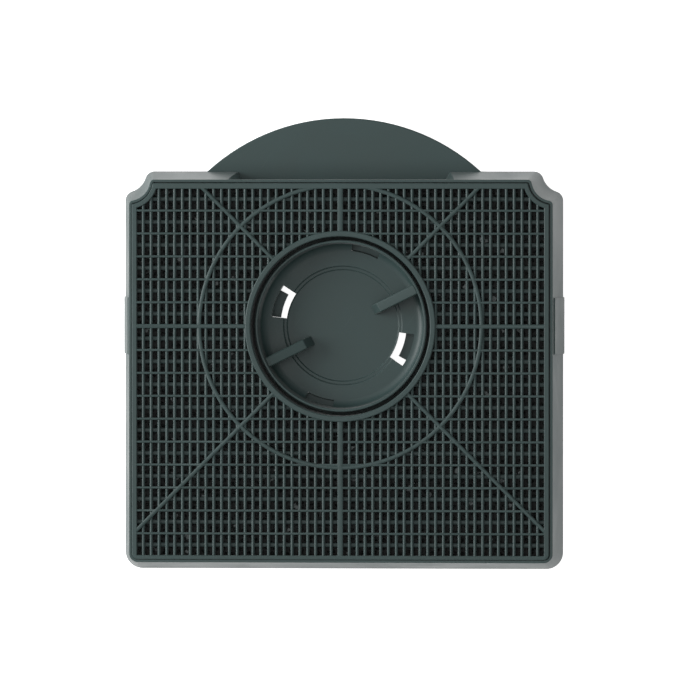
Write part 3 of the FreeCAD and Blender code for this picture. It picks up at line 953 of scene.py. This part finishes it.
@dataclass
class TwistHub:
    """The turning dish with its grips, see-through windows, tongues, lugs and socket."""

    rim: float = 46.8 * MM
    rim_width: float = 1.4 * MM
    rim_height: float = 26.5 * MM
    wall_foot: float = 44.6 * MM
    cove: float = 4.6 * MM
    floor: float = 11.5 * MM
    thickness: float = 1.8 * MM
    step: float = 32.4 * MM
    step_height: float = 10.0 * MM
    disc: float = 30.5 * MM
    disc_height: float = 9.0 * MM
    socket: float = 39.4 * MM
    socket_wall: float = 1.6 * MM
    socket_end: float = 0.6 * MM
    tongue: float = 34.5 * MM
    tongue_bottom: float = 3.0 * MM
    tongue_thickness: float = 2.0 * MM
    tongue_start: float = math.radians(151)
    tongue_span: float = math.radians(22)
    window: float = 30.9 * MM
    window_start: float = math.radians(146)
    window_span: float = math.radians(27)
    lug: float = 44.6 * MM
    lug_top: float = 7.2 * MM
    lug_thickness: float = 2.0 * MM
    lug_start: float = math.radians(62.5)
    lug_span: float = math.radians(20.8)
    slot_top: float = 17.5 * MM
    grip_turn: float = math.radians(26.35)
    grip_width: float = 5.5 * MM
    grip_foot: float = 18.3 * MM
    grip_ridge: float = 22.2 * MM
    grip_rim_top: float = 24.5 * MM
    grip_ridge_top: float = 20.0 * MM
    grip_round: float = 0.7 * MM
    grip_wall: float = 1.5 * MM
    segments: int = 256

    def build(self, plastic: bpy.types.Material) -> bpy.types.Object:
        """Builds the hub as one closed moulding.

        Args:
            plastic: Its finish.

        Returns:
            The finished piece.
        """
        hub = self._dish()
        for turn in (0.0, math.pi):
            hub = welded(hub, self._window(turn), Weld.CUT)
            hub = welded(hub, self._lug_slot(turn), Weld.CUT)
        hub = welded(hub, self._socket(), Weld.ADD)
        for turn in (0.0, math.pi):
            hub = welded(hub, self._tongue(turn), Weld.ADD)
            hub = welded(hub, self._lug(turn), Weld.ADD)
            hub = welded(hub, self._grip(turn), Weld.ADD)
            hub = welded(hub, self._grip_core(turn), Weld.CUT)
        hub.name = "twist_hub_moulding"
        dressed(hub, plastic)
        handed_over(hub, Body.HUB, "twist_hub")
        return hub

    def _dish(self) -> bpy.types.Object:
        """Makes the dish with its stepped floor."""
        inside = self.rim - self.rim_width
        soft = 0.45 * MM
        under = self.floor - self.thickness
        low = self.disc_height - self.thickness
        section = softened([
            (0, self.disc_height, 0),
            (self.disc, self.disc_height, soft),
            (self.disc, self.step_height, soft),
            (self.step, self.step_height, soft),
            (self.step, self.floor, soft),
            (self.wall_foot, self.floor, self.cove),
            (inside, self.rim_height, soft),
            (self.rim, self.rim_height, soft),
            (self.rim, under, self.cove),
            (self.step + self.thickness, under, soft / 2),
            (self.step + self.thickness, low, soft),
            (0, low, 0),
        ], steps=6)
        return turned("dish", section, self.segments)

    def _socket(self) -> bpy.types.Object:
        """Makes the round wall behind the dish that takes the lock boss."""
        outer = self.socket + self.socket_wall
        high = self.floor - self.thickness / 2
        soft = 0.3 * MM
        section = softened([(self.socket, self.socket_end, soft), (outer, self.socket_end, soft),
                            (outer, high, 0), (self.socket, high, 0)], steps=3)
        return turned("socket", section, self.segments)

    def _window(self, turn: float) -> bpy.types.Object:
        """Makes the cutter for one see-through window."""
        return sector("window", self.window, self.socket, self.window_start + turn, self.window_span,
                      0.0, self.floor + MM)

    def _lug_slot(self, turn: float) -> bpy.types.Object:
        """Makes the cutter for one slot above a lug."""
        return sector("lug_slot", self.socket + self.socket_wall, self.lug, self.lug_start + turn, self.lug_span,
                      0.0, self.slot_top)

    def _tongue(self, turn: float) -> bpy.types.Object:
        """Makes one inward tongue of the bayonet."""
        return sector("tongue", self.tongue, self.socket + self.socket_wall / 2, self.tongue_start + turn,
                      self.tongue_span, self.tongue_bottom, self.tongue_bottom + self.tongue_thickness)

    def _lug(self, turn: float) -> bpy.types.Object:
        """Makes one outward lug that holds the hub in the case."""
        return sector("lug", self.socket + self.socket_wall / 2, self.lug, self.lug_start + turn, self.lug_span,
                      self.lug_top - self.lug_thickness, self.lug_top)

    def _grip_profile(self, inset: float) -> list[Spot]:
        """Gives a grip's side view, drawn in by inset."""
        outer = self.rim - self.rim_width - inset
        low = self.disc_height - self.thickness / 2
        high = self.floor - self.thickness / 2
        if inset:
            low = high = self.disc_height - self.thickness - MM
            outer = self.socket - inset
        corners = [
            (self.grip_foot + inset, low),
            (self.grip_foot + inset, self.disc_height),
            (self.grip_ridge + inset, self.grip_ridge_top - inset),
            (outer, self.grip_rim_top - inset),
            (outer, high),
            (self.step, high),
            (self.disc, low),
        ]
        return corners[:5] if inset else corners

    def _web(self, name: str, half: float, inset: float, turn: float) -> bpy.types.Object:
        """Makes an upright web with a grip's side view."""
        out = Vector((math.cos(turn), math.sin(turn), 0))
        aside = Vector((-out.y, out.x, 0))
        path = [aside * -half, aside * half]
        return drawn(name, self._grip_profile(inset), path, [out] * 2)

    def _grip(self, turn: float) -> bpy.types.Object:
        """Makes one finger grip with soft edges."""
        grip = self._web("grip", self.grip_width / 2, 0.0, self.grip_turn + turn)
        soft = grip.modifiers.new("soft_edges", "BEVEL")
        soft.width = self.grip_round
        soft.segments = 4
        soft.limit_method = "ANGLE"
        soft.angle_limit = math.radians(25)
        return settled(grip)

    def _grip_core(self, turn: float) -> bpy.types.Object:
        """Makes the hollow behind one grip."""
        return self._web("core", self.grip_width / 2 - self.grip_wall, self.grip_wall, self.grip_turn + turn)


@dataclass
class RearHousing:
    """The case behind the grille, with its flared skirt, D flange, rear grating and well."""

    edge_round: float = 0.28 * MM
    edge_steps: int = 2
    crease: float = math.radians(25)

    def build(self, plastic: bpy.types.Material) -> bpy.types.Object:
        """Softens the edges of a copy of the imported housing.

        Args:
            plastic: Its finish.

        Returns:
            The finished piece.
        """
        shape = bmesh.new()
        shape.from_mesh(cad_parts["rear_housing"].data)
        bmesh.ops.remove_doubles(shape, verts=shape.verts, dist=MM / 1000)
        bmesh.ops.dissolve_limit(shape, angle_limit=math.radians(1), verts=shape.verts, edges=shape.edges)
        mesh = bpy.data.meshes.new("rear_housing_moulding")
        shape.to_mesh(mesh)
        shape.free()
        housing = placed("rear_housing_moulding", mesh)
        soft = housing.modifiers.new("soft_edges", "BEVEL")
        soft.width = self.edge_round
        soft.segments = self.edge_steps
        soft.limit_method = "ANGLE"
        soft.angle_limit = self.crease
        soft.use_clamp_overlap = False
        settled(housing)
        dressed(housing, plastic)
        handed_over(housing, Body.CASE, "rear_housing")
        return housing


@dataclass
class Studio:
    """Pale floor, even surrounding light and one broad soft light from the left."""

    floor_size: float = 6.0
    floor_gap: float = 0.2 * MM
    floor_colour: tuple[float, float, float, float] = (0.72, 0.72, 0.72, 1.0)
    seen_strength: float = 0.92
    surround: float = 0.42
    key_power: float = 26.0
    key_size: float = 0.9
    key_distance: float = 1.5
    key_turn: float = math.radians(172)
    key_height: float = math.radians(27)
    top_power: float = 5.0
    top_size: float = 1.2
    top_distance: float = 1.6

    def build(self) -> None:
        """Builds the floor, the world and the lights."""
        self._floor()
        self._world()
        self._light("key_light", self.key_power, self.key_size, self.key_distance, self.key_turn, self.key_height)
        self._light("top_light", self.top_power, self.top_size, self.top_distance, self.key_turn,
                    math.radians(80))

    @staticmethod
    def _seen(graph: Graph) -> bpy.types.NodeSocket:
        """Gives 1 for rays that show the background to the camera, also by gloss or through glass."""
        rays = graph.add("ShaderNodeLightPath").outputs
        seen = graph.math("ADD", rays["Is Camera Ray"], rays["Is Transmission Ray"])
        return graph.math("MINIMUM", graph.math("ADD", seen, rays["Is Glossy Ray"]), 1.0)

    def _floor(self) -> None:
        """Makes the floor, which shows white and keeps a faint shadow."""
        half = self.floor_size / 2
        corners = [Vector((x, y, -self.floor_gap)) for x, y in ((-half, -half), (half, -half), (half, half),
                                                                (-half, half))]
        mesh = bpy.data.meshes.new("pale_floor")
        mesh.from_pydata(corners, [], [[0, 1, 2, 3]])
        floor = placed("pale_floor", mesh)
        material = bpy.data.materials.new("pale_floor")
        material.use_nodes = True
        graph = Graph(material.node_tree)
        strength = graph.math("MULTIPLY", self._seen(graph), self.seen_strength)
        diffuse = graph.add("ShaderNodeBsdfDiffuse", {"Color": self.floor_colour})
        glow = graph.add("ShaderNodeEmission", {"Strength": strength})
        both = graph.add("ShaderNodeAddShader", {0: diffuse.outputs[0], 1: glow.outputs[0]})
        graph.add("ShaderNodeOutputMaterial", {"Surface": both.outputs[0]})
        mesh.materials.append(material)

    def _world(self) -> None:
        """Makes the even surrounding light, white where the camera sees it."""
        world = bpy.data.worlds.new("studio_world")
        world.use_nodes = True
        bpy.context.scene.world = world
        graph = Graph(world.node_tree)
        rays = graph.add("ShaderNodeLightPath").outputs
        strength = graph.add("ShaderNodeMapRange", {"Value": rays["Is Camera Ray"], "To Min": self.surround,
                                                    "To Max": 1.0})
        back = graph.add("ShaderNodeBackground", {"Color": (1, 1, 1, 1), "Strength": strength.outputs["Result"]})
        graph.add("ShaderNodeOutputWorld", {"Surface": back.outputs[0]})

    @staticmethod
    def _light(name: str, power: float, size: float, distance: float, turn: float, height: float) -> None:
        """Adds a soft light that points at the object."""
        data = bpy.data.lights.new(name, "AREA")
        data.energy = power
        data.size = size
        light = bpy.data.objects.new(name, data)
        away = Vector((math.cos(turn) * math.cos(height), math.sin(turn) * math.cos(height), math.sin(height)))
        light.location = away * distance
        light.rotation_mode = "QUATERNION"
        light.rotation_quaternion = away.to_track_quat("Z", "Y")
        bpy.context.scene.collection.objects.link(light)


@dataclass
class PhotoCamera:
    """Camera that looks down from the photograph's direction."""

    picture_width: float = 382.9 * MM
    middle: tuple[float, float, float] = (3.2 * MM, -13.65 * MM, 0.0)
    towards_right: float = math.radians(3.95)
    towards_flange: float = math.radians(1.3)
    distance: float = 6.0
    sensor: float = 36.0

    def build(self) -> None:
        """Makes the camera and the colour settings."""
        data = bpy.data.cameras.new("photo_camera")
        data.sensor_width = self.sensor
        data.lens = self.sensor * self.distance / self.picture_width
        data.clip_end = self.distance * 10
        camera = bpy.data.objects.new("photo_camera", data)
        bpy.context.scene.collection.objects.link(camera)
        back = Vector((math.sin(self.towards_right), math.sin(self.towards_flange), 1.0)).normalized()
        right = Vector((0, 1, 0)).cross(back).normalized()
        up = back.cross(right)
        place = Vector(self.middle) + back * self.distance
        camera.matrix_world = Matrix.Translation(place) @ Matrix((right, up, back)).transposed().to_4x4()
        bpy.context.scene.camera = camera
        bpy.context.scene.view_settings.view_transform = "Standard"


def main() -> None:
    """Builds the scene in order and reports each piece."""
    logging.basicConfig(level=logging.INFO, format="%(name)s %(message)s")
    PhotoCamera().build()
    Studio().build()
    effects = SurfaceEffects()
    RearHousing().build(MouldedPlastic("housing_plastic").made(effects))
    CarbonBed().build(ActiveCarbon("carbon_grains").made(effects))
    FrontGrille().build(MouldedPlastic("grille_plastic").made(effects))
    TwistHub().build(MouldedPlastic("hub_plastic").made(effects))


if __name__ == "__main__":
    main()
